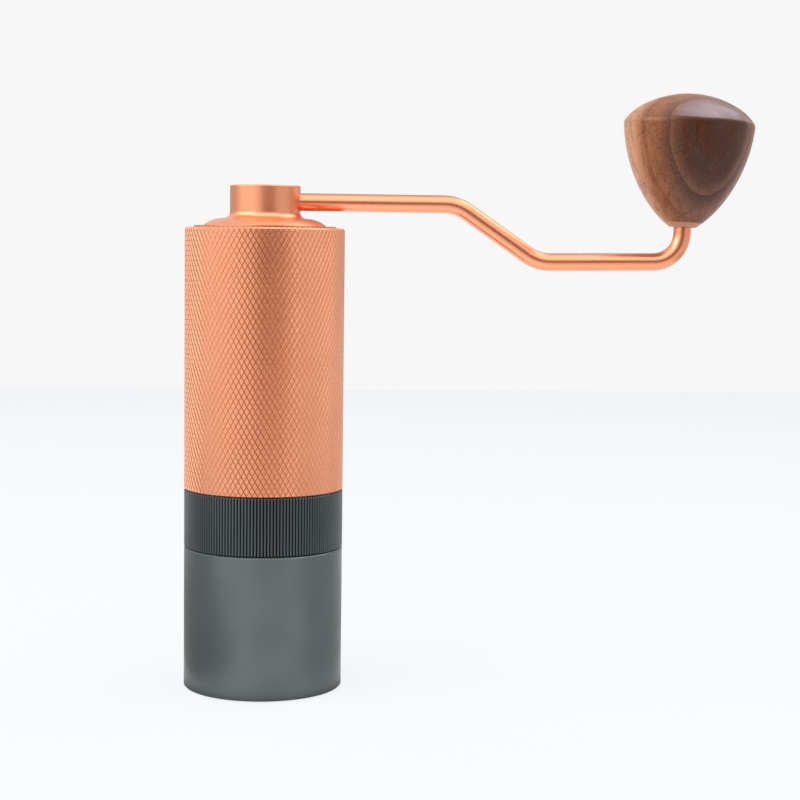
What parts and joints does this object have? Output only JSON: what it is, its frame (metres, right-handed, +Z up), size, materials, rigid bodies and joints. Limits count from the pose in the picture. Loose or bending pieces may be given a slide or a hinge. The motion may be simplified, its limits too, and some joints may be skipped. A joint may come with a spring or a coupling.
{
  "type": "hand crank coffee grinder",
  "caption": "Slim upright hand coffee grinder: knurled copper body, ribbed adjuster ring, dark catch cup, domed lift-off lid with bent crank arm and turned wooden knob.",
  "frame": {"origin": "on the table, under the middle of the catch cup", "axes": "+Z up along the body, +X along the crank arm at rest, +Y away from the picture's viewer"},
  "size_m": [0.194, 0.054, 0.2043],
  "materials": {
    "copper_anodised": "matte bead-blasted copper anodising",
    "dark_anodised": "satin dark grey-green anodising",
    "black_anodised": "satin near-black anodising",
    "raw_aluminium": "turned, plain",
    "steel": "ground steel",
    "burr_steel": "hardened cutting steel",
    "black_steel": "black oxide spring steel",
    "bronze": "sintered bronze",
    "walnut": "turned and oiled walnut",
    "black_plastic": "matte moulded",
    "cage_plastic": "natural nylon",
    "silicone": "matte silicone"
  },
  "bodies": {
    "body": {"body_shell": "copper_anodised", "frame_collar": "raw_aluminium", "ring_clip": "black_steel", "detent_ball": "steel", "detent_spring": "steel", "lower_spider": "raw_aluminium", "upper_spider": "raw_aluminium", "spider_clip": "black_steel", "lower_bearing_outer_race": "steel", "lower_bearing_shields": "steel", "upper_bearing_outer_race": "steel", "upper_bearing_shields": "steel"},
    "drive": {"drive_shaft": "steel", "shaft_clips": "black_steel", "burr_spacer": "steel", "inner_burr": "burr_steel", "burr_washer": "steel", "burr_bolt": "black_steel", "lower_bearing_inner_race": "steel", "upper_bearing_inner_race": "steel"},
    "upper_cage": {"upper_bearing_cage": "cage_plastic", "upper_bearing_balls": "steel"},
    "lower_cage": {"lower_bearing_cage": "cage_plastic", "lower_bearing_balls": "steel"},
    "crank": {"crank_lid": "copper_anodised", "drive_socket": "steel", "arm_set_screw": "black_steel", "lid_liner": "black_plastic", "liner_screws": "black_steel", "crank_arm": "copper_anodised", "knob_clip": "black_steel"},
    "knob": {"knob": "walnut", "knob_bush": "bronze"},
    "ring": {"adjuster_ring": "black_anodised"},
    "carrier": {"burr_carrier": "raw_aluminium", "outer_burr": "burr_steel", "burr_screws": "black_steel"},
    "cup": {"catch_cup": "dark_anodised", "base_pad": "silicone"}
  },
  "joints": [
    {"name": "crank_turn", "type": "hinge", "parent": "body", "child": "drive", "pos_m": [0, 0, 0.1], "axis": [0, 0, 1], "continuous": true},
    {"name": "crank_lift", "type": "slide", "parent": "drive", "child": "crank", "axis": [0, 0, 1], "range_m": [0, 0.04]},
    {"name": "knob_spin", "type": "hinge", "parent": "crank", "child": "knob", "pos_m": [0.14325, 0, 0.15844], "axis": [0.0436, 0, 0.999], "continuous": true},
    {"name": "ring_turn", "type": "hinge", "parent": "body", "child": "ring", "pos_m": [0, 0, 0.058], "axis": [0, 0, 1], "range_deg": [-360, 360]},
    {"name": "burr_rise", "type": "slide", "parent": "body", "child": "carrier", "axis": [0, 0, 1], "range_m": [-0.001, 0.001]},
    {"name": "cup_off", "type": "slide", "parent": "ring", "child": "cup", "axis": [0, 0, -1], "range_m": [0, 0.04]},
    {"name": "upper_cage_spin", "type": "hinge", "parent": "body", "child": "upper_cage", "pos_m": [0, 0, 0.14835], "axis": [0, 0, 1], "continuous": true},
    {"name": "lower_cage_spin", "type": "hinge", "parent": "body", "child": "lower_cage", "pos_m": [0, 0, 0.08295], "axis": [0, 0, 1], "continuous": true}
  ],
  "couplings": [
    {"joint": "burr_rise", "follows": "ring_turn", "m_per_rad": -0.00015915},
    {"joint": "upper_cage_spin", "follows": "crank_turn", "ratio": 0.4042},
    {"joint": "lower_cage_spin", "follows": "crank_turn", "ratio": 0.4042}
  ]
}
